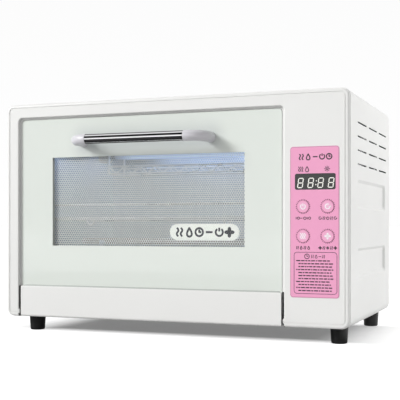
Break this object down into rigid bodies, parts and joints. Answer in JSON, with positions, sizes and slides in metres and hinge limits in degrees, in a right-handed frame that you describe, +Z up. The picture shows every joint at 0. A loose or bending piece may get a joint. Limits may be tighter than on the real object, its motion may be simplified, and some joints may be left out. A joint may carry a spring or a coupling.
{
  "type": "dry heat steriliser cabinet",
  "caption": "Bench-top warm-air and ultraviolet steriliser cabinet with a drop-down glass door, wire rack, lamp, heating tube and a keyed control panel.",
  "frame": {"origin": "middle of the whole object's footprint, on the surface that the feet stand on", "axes": "+Z up; the front with its door looks along -Y; +X is the side with the controls"},
  "size_m": [0.402, 0.2746, 0.2617],
  "materials": {
    "white_paint": "powder coat, satin",
    "white_plastic": "moulded, satin gloss",
    "door_glass": "back-printed safety glass, polished",
    "window_print": "fine printed mesh on film",
    "chamber_steel": "rolled, lightly brushed",
    "bright_steel": "zinc plated",
    "chrome_wire": "plated wire",
    "handle_chrome": "mirror plate",
    "handle_plastic": "moulded, soft gloss",
    "foot_rubber": "moulded, matte",
    "black_plastic": "moulded, matte",
    "seal_silicone": "extruded, matte",
    "panel_print": "printed polyester film",
    "display_tint": "smoked acrylic",
    "key_cap": "printed film over a dome",
    "board_laminate": "solder-masked laminate",
    "lamp_glass": "quartz tube, frosted by its glow",
    "lamp_ceramic": "fired ceramic",
    "bright_aluminium": "bright rolled",
    "heater_sheath": "sheathed element, heat-browned",
    "magnet": "ferrite"
  },
  "bodies": {
    "root": {"base_plate": "white_paint", "board_screws": "bright_steel", "board_standoffs": "white_plastic", "case_screws": "bright_steel", "catch_magnets": "magnet", "chamber_back": "chamber_steel", "chamber_base": "chamber_steel", "chamber_fan_wall": "chamber_steel", "chamber_left_wall": "chamber_steel", "chamber_mouth": "chamber_steel", "chamber_roof": "chamber_steel", "control_board": "board_laminate", "control_overlay": "panel_print", "cord_gland": "black_plastic", "display_lens": "display_tint", "display_module": "black_plastic", "door_switch": "black_plastic", "fan_housing": "black_plastic", "foot_front_left": "foot_rubber", "foot_front_right": "foot_rubber", "foot_rear_left": "foot_rubber", "foot_rear_right": "foot_rubber", "foot_screws": "bright_steel", "front_frame": "white_plastic", "gland_nut": "black_plastic", "heater_clips": "chamber_steel", "heater_tube": "heater_sheath", "hinge_bush_left": "white_plastic", "hinge_bush_right": "white_plastic", "key_switches": "black_plastic", "lamp_ballast": "bright_aluminium", "lamp_guard": "chrome_wire", "lamp_holder_left": "lamp_ceramic", "lamp_holder_right": "lamp_ceramic", "lamp_reflector": "bright_aluminium", "outer_wrap": "white_paint", "power_board": "board_laminate", "rack_guide_left": "chamber_steel", "rack_guide_right": "chamber_steel", "rear_panel": "white_paint", "thermal_cutout": "lamp_ceramic", "uv_lamp": "lamp_glass"},
    "door": {"door_glass": "door_glass", "window_screen": "window_print", "door_inner_frame": "chamber_steel", "door_strip": "white_plastic", "door_seal": "seal_silicone", "door_magnet": "magnet", "handle_bar": "handle_chrome", "handle_arm_left": "handle_plastic", "handle_arm_right": "handle_plastic", "handle_screws": "bright_steel", "hinge_pins": "bright_steel"},
    "rack": {"wire_rack": "chrome_wire"},
    "fan": {"fan_rotor": "black_plastic"},
    "key_upper_left": {"key_upper_left": "key_cap"},
    "key_upper_right": {"key_upper_right": "key_cap"},
    "key_lower_left": {"key_lower_left": "key_cap"},
    "key_lower_right": {"key_lower_right": "key_cap"}
  },
  "joints": [
    {"name": "door_hinge", "type": "hinge", "parent": "root", "child": "door", "pos_m": [-0.02615, -0.10215, 0.0234], "axis": [1, 0, 0], "range_deg": [0, 84]},
    {"name": "rack_slide", "type": "slide", "parent": "root", "child": "rack", "axis": [0, -1, 0], "range_m": [0, 0.0735]},
    {"name": "fan_spin", "type": "hinge", "parent": "root", "child": "fan", "pos_m": [0.134, 0.02135, 0.1692], "axis": [1, 0, 0], "continuous": true},
    {"name": "key_upper_left_press", "type": "slide", "parent": "root", "child": "key_upper_left", "axis": [0, 1, 0], "range_m": [0, 0.0005], "stiffness_N_per_m": 900},
    {"name": "key_upper_right_press", "type": "slide", "parent": "root", "child": "key_upper_right", "axis": [0, 1, 0], "range_m": [0, 0.0005], "stiffness_N_per_m": 900},
    {"name": "key_lower_left_press", "type": "slide", "parent": "root", "child": "key_lower_left", "axis": [0, 1, 0], "range_m": [0, 0.0005], "stiffness_N_per_m": 900},
    {"name": "key_lower_right_press", "type": "slide", "parent": "root", "child": "key_lower_right", "axis": [0, 1, 0], "range_m": [0, 0.0005], "stiffness_N_per_m": 900}
  ],
  "couplings": [
    {"joint": "rack_slide", "follows": "door_hinge", "m_per_rad": 0.05}
  ]
}
